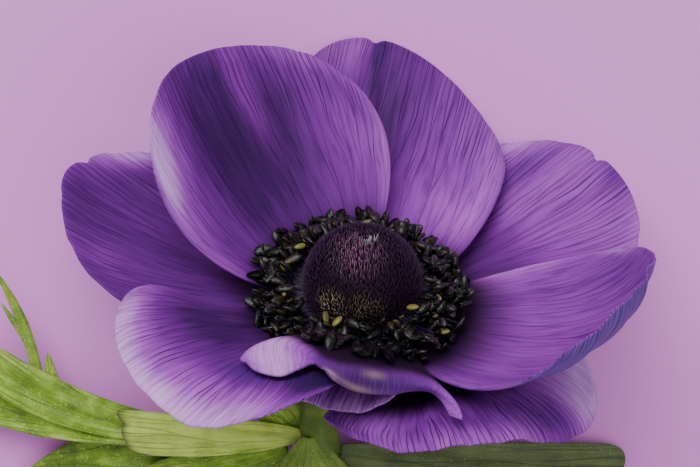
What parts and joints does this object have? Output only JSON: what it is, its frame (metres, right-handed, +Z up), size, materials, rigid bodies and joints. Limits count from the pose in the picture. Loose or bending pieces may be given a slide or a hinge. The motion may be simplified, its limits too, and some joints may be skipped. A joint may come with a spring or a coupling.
{
  "type": "cut anemone flower",
  "caption": "Open anemone bloom with broad cupped petals, a dark dome ringed by stamens, and a leafy ruff, lying on its side on a cut stem.",
  "frame": {"origin": "centre of the bounding box on the surface that the flower lies on", "axes": "+Z up from that surface, +Y from the stem's cut end towards the bloom, +X to the right of the bloom"},
  "size_m": [0.0951, 0.1824, 0.0543],
  "materials": {
    "petal": "soft violet petal with fine darker veins",
    "petal_pale": "soft pale lilac petal",
    "pistil": "dense dark velvety dome",
    "stamen": "blue-black anthers on dark filaments",
    "stem": "fresh green stem with fine hairs",
    "leaf": "fresh green leaf with fine hairs and lengthwise veins"
  },
  "bodies": {
    "root": {"tepal_back_left": "petal", "tepal_back_middle": "petal", "tepal_back_right": "petal", "tepal_right": "petal", "tepal_front_right": "petal", "tepal_front_inner": "petal", "tepal_front_left": "petal", "tepal_left": "petal", "tepal_curled": "petal_pale", "pistil": "pistil", "stamens": "stamen", "stem": "stem", "bract_left": "leaf", "bract_right": "leaf", "bract_front": "leaf"}
  },
  "joints": []
}
